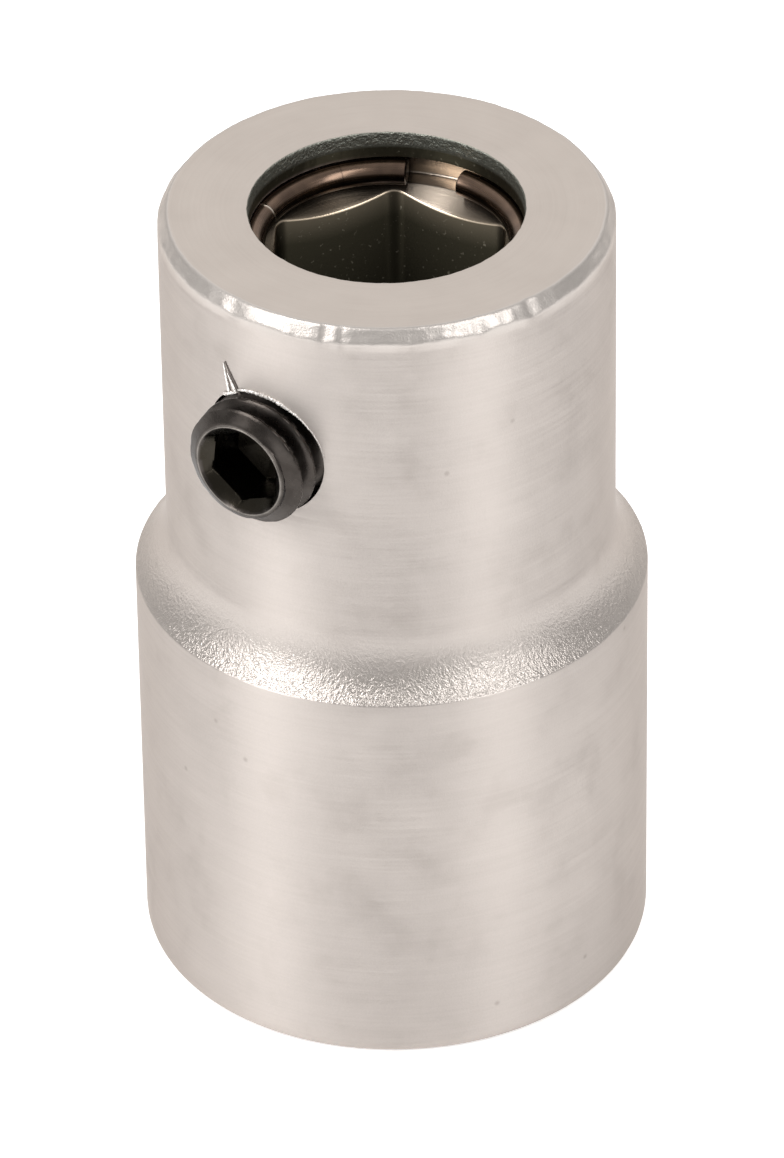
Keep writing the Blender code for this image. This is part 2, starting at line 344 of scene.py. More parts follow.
def pebbles(shape, spread):
    """Random lumps over a grid of rows and turns, with a spread of about 1, each a few steps wide."""
    lumps = CHANCE.normal(0.0, 1.0, shape)
    for _ in range(spread):
        lumps = (np.roll(lumps, 1, axis=1) + 2.0 * lumps + np.roll(lumps, -1, axis=1)) / 4.0
        lumps = (np.roll(lumps, 1, axis=0) + 2.0 * lumps + np.roll(lumps, -1, axis=0)) / 4.0
    return np.clip(lumps / lumps.std(), -2.0, 2.0)


def azimuth_distance(turns, azimuth):
    """How far each turn is from an azimuth, which is counted from -Y towards +X."""
    return (turns - (azimuth - QUARTER_TURN) + pi) % (2.0 * pi) - pi


def top_edge():
    """The width and height of the worn edge round the top, with its dents and nicks."""
    width = TOP_EDGE_WIDTH + TOP_EDGE_WIDTH_WANDER * wander(TURNS, (3, 7, 13, 29))
    height = TOP_EDGE_HEIGHT + TOP_EDGE_HEIGHT_WANDER * wander(TURNS, (5, 11, 17, 23))
    height += TOP_EDGE_HEIGHT_LUMPS * pebbles((1, SLEEVE_STEPS), 1)[0]
    width += TOP_EDGE_WIDTH_LUMPS * pebbles((1, SLEEVE_STEPS), 1)[0]
    # azimuth, spread, how far it widens the edge, how far it lowers it
    nicks = (
        (radians(18.0), radians(1.5), 0.07 * MM, 0.16 * MM),
        (radians(22.0), radians(1.0), 0.05 * MM, 0.08 * MM),
        (radians(57.0), radians(1.2), 0.03 * MM, 0.12 * MM),
        (radians(72.0), radians(1.6), 0.06 * MM, 0.1 * MM),
        (radians(181.0), radians(1.2), 0.06 * MM, 0.1 * MM),
        (radians(-8.0), radians(2.5), 0.03 * MM, 0.1 * MM),
    )
    for azimuth, spread, in_depth, down_depth in nicks:
        ragged = CHANCE.uniform(0.6, 1.4, TURNS.shape)
        share = ragged * np.exp(-((azimuth_distance(TURNS, azimuth) / spread) ** 2))
        width += in_depth * share
        height += down_depth * share
    return width, height


def sleeve_corners():
    """The sleeve's section as (radius, height, edge size, rows on to the next), up from the foot."""
    corners = []
    foot_rows = 6
    for step in range(foot_rows):
        angle = -QUARTER_TURN + QUARTER_TURN * step / foot_rows
        radius = BODY_RADIUS - FOOT_EDGE_WIDTH * (1.0 - cos(angle))
        corners.append((radius, FOOT_EDGE_HEIGHT * (1.0 + sin(angle)), 0.0, 1))
    corners.append((BODY_RADIUS, FOOT_EDGE_HEIGHT, 0.0, 24))
    corners.append((BODY_RADIUS, BODY_HEIGHT, 0.05 * MM, 1))
    fillet_radius = NECK_RADIUS + SHOULDER_FILLET
    fillet_start = acos((fillet_radius - BODY_RADIUS) / SHOULDER_FILLET)
    fillet_z = BODY_HEIGHT + SHOULDER_FILLET * sin(fillet_start)
    fillet_rows = 32
    for step in range(1, fillet_rows + 1):
        angle = pi + fillet_start * (1.0 - step / fillet_rows)
        radius = fillet_radius + SHOULDER_FILLET * cos(angle)
        corners.append((radius, fillet_z + SHOULDER_FILLET * sin(angle), 0.0, 1))
    corners[-1] = (NECK_RADIUS, fillet_z, 0.0, 40)
    width, height = top_edge()
    corners.append((NECK_RADIUS, HEIGHT - height, 0.12 * MM, 7))
    corners.append((NECK_RADIUS - width, HEIGHT, 0.12 * MM, 8))
    uneven = 0.012 * MM * wander(TURNS, (19, 31, 47, 71))
    corners.append((MOUTH_RADIUS + uneven + 0.03 * MM, HEIGHT, 0.05 * MM, 1))
    corners.append((MOUTH_RADIUS, HEIGHT - 0.1 * MM, 0.03 * MM, 10))
    corners.append((MOUTH_RADIUS, GROOVE_TOP, 0.06 * MM, 2))
    corners.append((GROOVE_RADIUS, GROOVE_TOP, 0.15 * MM, 4))
    corners.append((GROOVE_RADIUS, GROOVE_BOTTOM, 0.12 * MM, 4))
    corners.append((MOUTH_RADIUS, GROOVE_BOTTOM, 0.02 * MM, 6))
    hexagon = polygon_radius(TURNS, 6, HEX_FLAT_RADIUS, HEX_CORNER_ROUND)
    edge = GROOVE_BOTTOM - (MOUTH_RADIUS - hexagon) * tan(LEAD_IN_SLOPE)
    corners.append((hexagon, edge, 0.07 * MM, 12))
    corners.append((hexagon, WEB_TOP, 0.15 * MM, 3))
    corners.append((WEB_HOLE_RADIUS, WEB_TOP, 0.1 * MM, 4))
    corners.append((WEB_HOLE_RADIUS, DRIVE_DEPTH, 0.1 * MM, 3))
    square = polygon_radius(TURNS, 4, DRIVE_FLAT_RADIUS, DRIVE_CORNER_ROUND)
    corners.append((square, DRIVE_DEPTH, 0.15 * MM, 16))
    corners.append((square, DRIVE_CHAMFER, 0.06 * MM, 2))
    foot_square = polygon_radius(TURNS, 4, DRIVE_FLAT_RADIUS + DRIVE_CHAMFER, DRIVE_CORNER_ROUND)
    corners.append((foot_square, 0.0, 0.06 * MM, 3))
    return corners


def cut(obj, cutter):
    """Take one closed mesh out of another for good."""
    boolean = obj.modifiers.new("cut", "BOOLEAN")
    boolean.operation = "DIFFERENCE"
    boolean.solver = "EXACT"
    boolean.object = cutter
    graph = bpy.context.evaluated_depsgraph_get()
    shape = bpy.data.meshes.new_from_object(obj.evaluated_get(graph))
    obj.modifiers.clear()
    obj.data = shape
    bpy.data.objects.remove(cutter, do_unlink=True)


def screw_hole():
    """The set screw's hole, along -Y, from inside the hexagon to outside the neck."""
    length = 8.0 * MM
    middle = Matrix.Translation((0.0, -length, SCREW_HEIGHT))
    bm = bmesh.new()
    bmesh.ops.create_cone(
        bm, cap_ends=True, segments=SCREW_STEPS, radius1=HOLE_RADIUS, radius2=HOLE_RADIUS, depth=length
    )
    bm.transform(middle @ Matrix.Rotation(QUARTER_TURN, 4, "X"))
    mesh = bpy.data.meshes.new("screw_hole")
    bm.to_mesh(mesh)
    bm.free()
    return link(bpy.data.objects.new("screw_hole", mesh))


def detents():
    """The four dimples in the drive socket's flats."""
    bm = bmesh.new()
    centre = DRIVE_FLAT_RADIUS + DETENT_DEPTH - DETENT_RADIUS
    for side in range(4):
        angle = side * QUARTER_TURN
        place = Matrix.Translation((centre * cos(angle), centre * sin(angle), DETENT_HEIGHT))
        bmesh.ops.create_uvsphere(
            bm, u_segments=DETENT_STEPS, v_segments=DETENT_ROWS, radius=DETENT_RADIUS, matrix=place
        )
    mesh = bpy.data.meshes.new("detents")
    bm.to_mesh(mesh)
    bm.free()
    return link(bpy.data.objects.new("detents", mesh))


def on_neck(x, z, proud):
    """A point this far proud of the neck, on the side of the set screw."""
    reach = NECK_RADIUS + proud
    return Vector((x, -((reach**2 - x**2) ** 0.5), z))


def add_burr(bm, path, sizes):
    """A closed sliver of raised metal along a path, with a half width and half height at each point."""
    loops = []
    for i, (point, size) in enumerate(zip(path, sizes)):
        along = (path[min(i + 1, len(path) - 1)] - path[max(i - 1, 0)]).normalized()
        out = Vector((point.x, point.y, 0.0)).normalized()
        aside = along.cross(out).normalized()
        loop = []
        for side in range(BURR_SIDES):
            angle = 2.0 * pi * side / BURR_SIDES
            offset = aside * cos(angle) * size[0] + out * sin(angle) * size[1]
            loop.append(bm.verts.new(point + offset))
        loops.append(loop)
    for lower, upper in zip(loops, loops[1:]):
        for i in range(BURR_SIDES):
            j = (i + 1) % BURR_SIDES
            bm.faces.new((lower[i], lower[j], upper[j], upper[i]))
    bm.faces.new(loops[0])
    bm.faces.new(loops[-1])
    return [vert for loop in loops for vert in loop]


def add_rim_burr(bm):
    """The lip that the tap pushed up along the upper right of the screw's hole."""
    steps = 150
    thin = 0.02
    swell = 0.07
    path = []
    sizes = []
    for step in range(steps + 1):
        share = step / steps
        angle = RIM_BURR_START - RIM_BURR_TURN * share
        fade = min(1.0, 8.0 * share) * min(1.0, 1.9 * (1.0 - share)) ** 2.5
        size = (thin + swell * fade) * MM * CHANCE.uniform(0.8, 1.2)
        reach = HOLE_RADIUS + RIM_BURR_GAP + CHANCE.uniform(-0.015, 0.02) * MM
        x = reach * cos(angle)
        z = SCREW_HEIGHT + reach * sin(angle)
        path.append(on_neck(x, z, 0.01 * MM + CHANCE.uniform(0.0, 0.02) * MM * fade))
        sizes.append((size, size * CHANCE.uniform(0.7, 1.2)))
    add_burr(bm, path, sizes)


def add_split_burr(bm):
    """The torn sliver above the hole: a long strand, a short one, and the ragged root of both."""
    # the start and end, across and up from the hole's top, and the thickness, all in millimetres
    strands = (
        ((-1.7, -0.42), (-2.0, 0.88), 0.085),
        ((-1.27, -0.38), (-1.78, 0.45), 0.08),
        ((-1.98, -0.72), (-1.2, -0.3), 0.1),
    )
    steps = 36
    for start, end, thickness in strands:
        path = []
        sizes = []
        for step in range(steps + 1):
            share = step / steps
            x = (start[0] + (end[0] - start[0]) * share + CHANCE.uniform(-0.012, 0.012)) * MM
            z = BURR_TOP + (start[1] + (end[1] - start[1]) * share) * MM
            size = thickness * (1.0 - share**2 * 0.7) * MM * CHANCE.uniform(0.85, 1.2)
            path.append(on_neck(x, z, 0.02 * MM))
            sizes.append((size, size * 0.9))
        add_burr(bm, path, sizes)


def add_burr_shadow(bm):
    """A painted shadow: a dark sliver on the right of the torn sliver."""
    dark = bm.verts.layers.float.new("burr_shadow")
    # the start and the way from there, across and up from the hole's top, in millimetres
    start = (-1.08, -0.4)
    run = (-0.83, 1.38)
    steps = 30
    path = []
    sizes = []
    for step in range(steps + 1):
        share = step / steps
        x = (start[0] + run[0] * share + CHANCE.uniform(-0.01, 0.01)) * MM
        z = BURR_TOP + (start[1] + run[1] * share) * MM
        path.append(on_neck(x, z, 0.0))
        size = BURR_SHADOW_SIZE * (1.0 - 0.5 * share)
        sizes.append((size, size * 0.6))
    for vert in add_burr(bm, path, sizes):
        vert[dark] = 1.0


def add_burrs(obj):
    bm = bmesh.new()
    bm.from_mesh(obj.data)
    add_rim_burr(bm)
    add_split_burr(bm)
    add_burr_shadow(bm)
    bm.to_mesh(obj.data)
    bm.free()


def paint_sleeve(sleeve):
    """Mark where the sleeve is blasted, worn, torn, shiny or dull, and where shade and highlights are
    painted.
    """
    places = np.array([vert.co[:] for vert in sleeve.data.vertices])
    radius = np.hypot(places[:, 0], places[:, 1])
    turns = np.arctan2(places[:, 1], places[:, 0])
    z = places[:, 2]
    outer = radius > INSIDE_LIMIT
    top = z > HEIGHT - SKIN
    in_mouth = ~outer & ~top & (z > MOUTH_BOTTOM)
    hexagon = polygon_radius(turns, 6, HEX_FLAT_RADIUS, HEX_CORNER_ROUND)
    edge_z = GROOVE_BOTTOM - (MOUTH_RADIUS - hexagon) * tan(LEAD_IN_SLOPE)
    from_edge = np.hypot(radius - hexagon, z - edge_z)
    in_hexagon = ~outer & (z > WEB_TOP) & (z < edge_z - 0.02 * MM) & (radius < hexagon + 0.1 * MM)
    in_drive = ~outer & (z > 0.3 * MM) & (z <= WEB_TOP)
    above_body = (z > BODY_HEIGHT + 0.02 * MM) * outer
    shoulder = ramp(z, BLAST_END, BLAST_FULL) * above_body
    edge = ramp(z, EDGE_WEAR_END, WEAR_FULL) * ~top * outer
    land = ramp(z, LAND_WEAR_END, WEAR_FULL) * ~top * (radius < LAND_LIMIT)
    # The land's lower band takes the dark bore colour as painted shade
    deep_land_shade = (z > GROOVE_TOP - 0.05 * MM) * ~top * ~outer
    # The raised metal above the hole is marked for a painted highlight
    raised = ramp(radius, NECK_RADIUS + SKIN, NECK_RADIUS + 4.0 * SKIN)
    paint(sleeve, "burr", raised * (z > SCREW_HEIGHT))
    paint(sleeve, "top_face", top)
    paint(sleeve, "shoulder", shoulder)
    paint(sleeve, "edge", edge)
    paint(sleeve, "land", land)
    # Painted shade on the lead-in cone under the ring, left off near the ring's gap as painted light
    cone = in_mouth & ~in_hexagon & (z < GROOVE_BOTTOM + SKIN) & (radius < MOUTH_RADIUS + 5.0 * SKIN)
    from_gap = azimuth_distance(turns, RING_GAP_START + RING_GAP * 0.5 + QUARTER_TURN)
    gap_painted_light = np.exp(-((from_gap / GAP_PAINTED_LIGHT_SPREAD) ** 2))
    paint(sleeve, "cone", cone * (1.0 - gap_painted_light))
    from_lip = np.hypot(radius - MOUTH_RADIUS, z - GROOVE_TOP)
    from_glint = azimuth_distance(turns, LIP_GLINT_TURN + QUARTER_TURN)
    lip_side = np.exp(-((from_glint / LIP_GLINT_SPREAD) ** 2))
    paint(sleeve, "lip", np.exp(-((from_lip / GLINT_WIDTH) ** 2)) * lip_side * ~outer)
    paint(sleeve, "mouth", in_mouth * ~in_hexagon)
    # Bores: dark steel with painted shade, and the land's lower band as painted shade
    paint(sleeve, "bore", np.maximum(in_hexagon | in_drive, deep_land_shade))
    paint(sleeve, "hex_edge", np.exp(-((from_edge / GLINT_WIDTH) ** 2)) * ~outer)


def make_sleeve():
    rows = soften(sleeve_corners())
    radius = rows[:, 0]
    z = rows[:, 1]
    outer = radius > INSIDE_LIMIT
    shoulder = ramp(z, SHOULDER_LUMPS_END, SHOULDER_LUMPS_FULL) * (z > BODY_HEIGHT) * outer
    edge = (z > EDGE_LUMPS_BOTTOM) * (z < HEIGHT - 0.004 * MM) * outer
    land = (z > GROOVE_TOP) * (z < HEIGHT - 0.03 * MM) * (radius < LAND_LIMIT)
    grain = np.maximum(shoulder, np.maximum(edge, land))
    fine = pebbles(radius.shape, 0)
    coarse = pebbles(radius.shape, 3)
    lumps = np.where(edge, 0.0015 * fine + 0.005 * coarse, 0.004 * fine + 0.003 * coarse)
    radius = radius + grain * lumps * MM
    points = np.stack([radius * np.cos(TURNS), radius * np.sin(TURNS), z], axis=-1).reshape(-1, 3)
    faces = grid_faces(len(rows), SLEEVE_STEPS, closed=True)
    sleeve = mesh_object("sleeve", points, faces)
    cut(sleeve, detents())
    cut(sleeve, screw_hole())
    add_burrs(sleeve)
    paint_sleeve(sleeve)
    shade(sleeve, radians(35.0))
    return sleeve


def make_ring():
    """The split ring: round wire with soft, square-cut ends painted with shade, a raised bright line
    and a dark scratch.
    """
    turns = np.linspace(0.0, 2.0 * pi - RING_GAP, RING_STEPS + 1)
    around = np.arange(WIRE_STEPS) * 2.0 * pi / WIRE_STEPS
    end_inset = np.minimum(turns, turns[-1] - turns) * RING_RADIUS
    end_round = 0.06 * MM
    inset = np.clip(end_inset / end_round, 0.0, 1.0)
    scale = 1.0 - 0.1 * (1.0 - np.sqrt(1.0 - (1.0 - inset) ** 2))
    turn = (turns + RING_GAP_START + RING_GAP)[:, None]
    # A raised line across the wire, coloured bright
    bright_line = np.exp(-(((turn - RING_BRIGHT_LINE_TURN) * RING_RADIUS / MARK_WIDTH) ** 2))
    wire = WIRE_RADIUS * scale[:, None] + 0.02 * MM * bright_line
    radius = RING_RADIUS + wire * np.cos(around)[None, :]
    z = RING_HEIGHT + wire * np.sin(around)[None, :]
    points = np.stack([radius * np.cos(turn), radius * np.sin(turn), z], axis=-1).reshape(-1, 3)
    faces = grid_faces(len(turns), WIRE_STEPS, closed=False).tolist()
    faces.append(list(range(WIRE_STEPS)))
    faces.append(list(range(RING_STEPS * WIRE_STEPS, (RING_STEPS + 1) * WIRE_STEPS)))
    ring = mesh_object("split_ring", points, faces)
    scratch = np.exp(-(((turn - RING_SCRATCH_TURN) * RING_RADIUS / SCRATCH_WIDTH) ** 2))
    # The wire's cut ends are painted dark as shade, beside the real scratch
    end_shade = np.where(inset < 0.9, 1.0, 0.0)[:, None]
    paint(ring, "bright_mark", np.broadcast_to(bright_line, radius.shape))
    paint(ring, "scratch_and_end_shade", np.broadcast_to(np.maximum(scratch * 0.8, end_shade), radius.shape))
    shade(ring, radians(40.0))
    return ring


def thread_radius(turns, height):
    """The radius of a right-hand thread with soft crests and roots."""
    pitches = (height - SCREW_HEAD + FIRST_CREST_DEPTH) / THREAD_PITCH - turns / (2.0 * pi)
    from_crest = np.abs((pitches + 0.5) % 1.0 - 0.5)
    flank_share = (1.0 - THREAD_CREST_SHARE - THREAD_ROOT_SHARE) / 2.0
    down = np.clip((from_crest - THREAD_CREST_SHARE / 2.0) / flank_share, 0.0, 1.0)
    soft = 0.35
    down = (1.0 - soft) * down + soft * down**2 * (3.0 - 2.0 * down)
    return THREAD_RADIUS - THREAD_DEPTH * down


def screw_rows(turns):
    """The screw's surface in rows of (radius, height, turn), from the cup's floor to the key's."""
    rows = [(CUP_FLOOR_RADIUS, SCREW_TIP + CUP_DEPTH), (CUP_RADIUS, SCREW_TIP + 0.02 * MM)]
    rows.append((CUP_RADIUS + 0.05 * MM, SCREW_TIP))
    count = round(SCREW_LENGTH / THREAD_PITCH * SCREW_ROWS_PER_PITCH)
    rim_round = 0.04 * MM
    for row in range(count + 1):
        height = SCREW_TIP + (SCREW_LENGTH - rim_round) * row / count
        head_share = (SCREW_HEAD - height) / HEAD_CONE_DEPTH
        head_cone = HEAD_RIM_RADIUS + (THREAD_RADIUS - HEAD_RIM_RADIUS) * head_share
        tip_cone = TIP_RADIUS + height - SCREW_TIP
        limit = min(head_cone, tip_cone)
        thread = thread_radius(turns, height)
        softness = 0.04 * MM
        gap = np.maximum(softness - np.abs(thread - limit), 0.0) / softness
        rows.append((np.minimum(thread, limit) - gap**2 * softness / 4.0, height))
    rim_rows = 4
    for step in range(1, rim_rows + 1):
        angle = QUARTER_TURN * step / rim_rows
        radius = HEAD_RIM_RADIUS - rim_round * 0.6 * (1.0 - cos(angle))
        rows.append((radius, SCREW_HEAD - rim_round * (1.0 - sin(angle))))
    rim_inside = HEAD_RIM_RADIUS - HEAD_RIM_WIDTH
    rows.append((rim_inside, SCREW_HEAD))
    bevel = 0.02 * MM
    lead_in_radius = rim_inside - bevel
    rows.append((lead_in_radius, SCREW_HEAD - bevel))
    from_flat = (turns - KEY_TURN) % (pi / 3.0) - pi / 6.0
    hexagon = KEY_FLAT_RADIUS / np.cos(from_flat)
    key_rows = 8
    for step in range(1, key_rows + 1):
        share = step / key_rows
        depth = bevel + (KEY_LEAD_IN - bevel) * share
        rows.append((lead_in_radius + (hexagon - lead_in_radius) * share, SCREW_HEAD - depth))
    for step in range(1, key_rows + 1):
        rows.append((hexagon, SCREW_HEAD - KEY_LEAD_IN - (KEY_DEPTH - KEY_LEAD_IN) * step / key_rows))
    drill_point = 0.4 * MM
    rows.append((0.25 * MM, SCREW_HEAD - KEY_DEPTH - drill_point))
    return rows


def make_screw():
    """The set screw, made about Z and then laid along -Y."""
    turns = np.arange(SCREW_STEPS) * 2.0 * pi / SCREW_STEPS
    rows = screw_rows(turns)
    radius = np.array([np.broadcast_to(row[0], turns.shape) for row in rows])
    height = np.array([np.full(turns.shape, row[1]) for row in rows])
    lumps = CHANCE.normal(0.0, 0.0012 * MM, radius.shape)
    key = (height < SCREW_HEAD - 0.03 * MM) & (radius < 2.05 * MM) & (height > SCREW_TIP + 2.0 * MM)
    radius = radius + np.where(key, 0.0, lumps)
    points = np.stack([radius * np.cos(turns), radius * np.sin(turns), height], axis=-1).reshape(-1, 3)
    faces = grid_faces(len(rows), SCREW_STEPS, closed=False).tolist()
    faces.append(list(range(SCREW_STEPS)))
    faces.append(list(range((len(rows) - 1) * SCREW_STEPS, len(rows) * SCREW_STEPS)))
    screw = mesh_object("grub_screw", points, faces)
    from_rim = radius - HEAD_RIM_RADIUS + HEAD_RIM_WIDTH / 2.0
    rim = np.exp(-((from_rim / (HEAD_RIM_WIDTH / 2.0)) ** 2))
    paint(screw, "rim", rim * (height > SCREW_HEAD - 0.05 * MM))
    # The key socket is marked for painted shade
    paint(screw, "key", key)
    up_to_hole = Matrix.Translation((0.0, 0.0, SCREW_HEIGHT))
    screw.data.transform(up_to_hole @ Matrix.Rotation(QUARTER_TURN, 4, "X"))
    shade(screw, radians(40.0))
    return screw


# ---- materials ----

class Nodes:
    """A short way to build one material's nodes."""

    def __init__(self, name):
        self.material = bpy.data.materials.new(name)
        self.material.use_nodes = True
        self.tree = self.material.node_tree
        self.shader = self.tree.nodes["Principled BSDF"]

    def put(self, socket, value):
        if isinstance(value, bpy.types.NodeSocket):
            self.tree.links.new(value, socket)
        else:
            socket.default_value = value

    def node(self, kind, output=0, settings=(), **inputs):
        made = self.tree.nodes.new(kind)
        for name, value in dict(settings).items():
            setattr(made, name, value)
        for name, value in inputs.items():
            self.put(made.inputs[name.replace("_", " ")], value)
        return made.outputs[output]

    def math(self, operation, first, second=0.0, clamp=False):
        made = self.tree.nodes.new("ShaderNodeMath")
        made.operation = operation
        made.use_clamp = clamp
        self.put(made.inputs[0], first)
        self.put(made.inputs[1], second)
        return made.outputs[0]

    def attribute(self, name):
        return self.node("ShaderNodeAttribute", "Fac", {"attribute_name": name})

    def noise(self, place, scale, detail=2.0, roughness=0.5):
        settings = {"Vector": place, "Scale": scale, "Detail": detail, "Roughness": roughness}
        return self.node("ShaderNodeTexNoise", "Fac", **settings)

    def span(self, value, low, high, to_low=0.0, to_high=1.0):
        made = self.tree.nodes.new("ShaderNodeMapRange")
        self.put(made.inputs["Value"], value)
        made.inputs["From Min"].default_value = low
        made.inputs["From Max"].default_value = high
        made.inputs["To Min"].default_value = to_low
        made.inputs["To Max"].default_value = to_high
        return made.outputs["Result"]

    def mix(self, share, first, second):
        made = self.tree.nodes.new("ShaderNodeMix")
        made.data_type = "RGBA"
        self.put(made.inputs["Factor"], share)
        a, b = [s for s in made.inputs if s.type == "RGBA"]
        self.put(a, (*first, 1.0) if isinstance(first, tuple) else first)
        self.put(b, (*second, 1.0) if isinstance(second, tuple) else second)
        return [s for s in made.outputs if s.type == "RGBA"][0]

    def mix_value(self, share, first, second):
        made = self.tree.nodes.new("ShaderNodeMix")
        made.data_type = "FLOAT"
        self.put(made.inputs["Factor"], share)
        a, b = [s for s in made.inputs if s.type == "VALUE"][1:3]
        self.put(a, first)
        self.put(b, second)
        return made.outputs[0]

    def layer(self, colour, mark, share, over):
        """Lay one colour over another where the mesh carries a mark."""
        return self.mix(self.math("MULTIPLY", self.attribute(mark), share), colour, over)

    def bump(self, height, distance, strength=1.0, normal=None):
        made = self.tree.nodes.new("ShaderNodeBump")
        self.put(made.inputs["Height"], height)
        made.inputs["Distance"].default_value = distance
        self.put(made.inputs["Strength"], strength)
        if normal is not None:
            self.put(made.inputs["Normal"], normal)
        return made.outputs["Normal"]

    def place(self):
        return self.node("ShaderNodeTexCoord", "Object")

    def around_z(self, place, fine, slow):
        """A place that changes fast with radius and height and slowly round the axis."""
        split = self.tree.nodes.new("ShaderNodeSeparateXYZ")
        self.put(split.inputs[0], place)
        flat = self.math("POWER", split.outputs["X"], 2.0)
        flat = self.math("ADD", flat, self.math("POWER", split.outputs["Y"], 2.0))
        radius = self.math("SQRT", flat)
        joined = self.tree.nodes.new("ShaderNodeCombineXYZ")
        self.put(joined.inputs["X"], self.math("MULTIPLY", radius, fine))
        self.put(joined.inputs["Y"], self.math("MULTIPLY", split.outputs["Z"], fine))
        turned = self.math("ADD", split.outputs["X"], self.math("MULTIPLY", split.outputs["Y"], 0.7))
        self.put(joined.inputs["Z"], self.math("MULTIPLY", turned, slow))
        return joined.outputs[0]

    def finish(self, colour, roughness, normal):
        self.put(self.shader.inputs["Base Color"], colour)
        self.put(self.shader.inputs["Roughness"], roughness)
        self.put(self.shader.inputs["Metallic"], 1.0)
        self.put(self.shader.inputs["Normal"], normal)
        return self.material


def specks(n, place):
    """A few small round spots: 1 inside them and 0 outside."""
    cells = n.tree.nodes.new("ShaderNodeTexVoronoi")
    n.put(cells.inputs["Vector"], place)
    cells.inputs["Scale"].default_value = SPECKS
    near = n.span(cells.outputs["Distance"], 0.03, 0.09, 1.0, 0.0)
    chosen = n.node("ShaderNodeSeparateColor", 0, Color=cells.outputs["Color"])
    return n.math("MULTIPLY", near, n.math("GREATER_THAN", chosen, 0.8))


def nickel_colour(n, place, lathe, grain, cloud):
    """Uneven plating, and over it the colour of each area that the mesh marks, painted shade and
    painted highlights among them.
    """
    wide_cloud = n.noise(place, WIDE_CLOUDS, detail=2.0)
    smudge = n.noise(place, SMUDGES, detail=4.0, roughness=0.7)
    glint = n.span(n.noise(place, BORE_GLINTS, detail=1.0), 0.68, 0.8)
    bore_glint = n.math("MULTIPLY", n.math("MULTIPLY", glint, n.attribute("bore")), 0.35)
    colour = n.mix(n.span(wide_cloud, 0.35, 0.65), NICKEL, NICKEL_SHADE)
    colour = n.mix(n.span(lathe, 0.35, 0.65, 0.0, 0.1), colour, NICKEL_LINE)
    colour = n.mix(n.span(grain, 0.35, 0.65, 0.0, 0.22), colour, NICKEL_GRAIN)
    colour = n.mix(n.span(cloud, 0.55, 0.75, 0.0, 0.35), colour, NICKEL_CLOUD)
    colour = n.mix(n.span(smudge, 0.66, 0.76, 0.0, 0.12), colour, SMUDGE)
    colour = n.mix(n.math("MULTIPLY", specks(n, place), 0.3), colour, SPECK)
    colour = n.layer(colour, "shoulder", 0.6, BLASTED_NICKEL)
    colour = n.layer(colour, "top_face", 0.9, TOP_NICKEL)
    colour = n.layer(colour, "mouth", 0.9, MOUTH_STEEL)
    # painted shade on the lead-in cone under the ring
    colour = n.layer(colour, "cone", 0.95, CONE_PAINTED_SHADE)
    # dark bore steel with painted shade, also on the land's lower band
    colour = n.layer(colour, "bore", 1.0, BORE_STEEL_AND_SHADE)
    colour = n.mix(bore_glint, colour, BORE_GLINT)
    colour = n.layer(colour, "land", 0.9, LAND_STEEL)
    colour = n.layer(colour, "lip", 0.8, LIP_GLINT)
    # painted highlight on the raised metal at the screw's hole
    colour = n.layer(colour, "burr", 1.0, BURR_PAINTED_HIGHLIGHT)
    # painted shadow beside the torn sliver
    colour = n.layer(colour, "burr_shadow", 0.9, PAINTED_BURR_SHADOW)
    colour = n.layer(colour, "hex_edge", 0.85, HEX_EDGE_GLINT)
    return n.layer(colour, "edge", 0.5, WORN_EDGE)


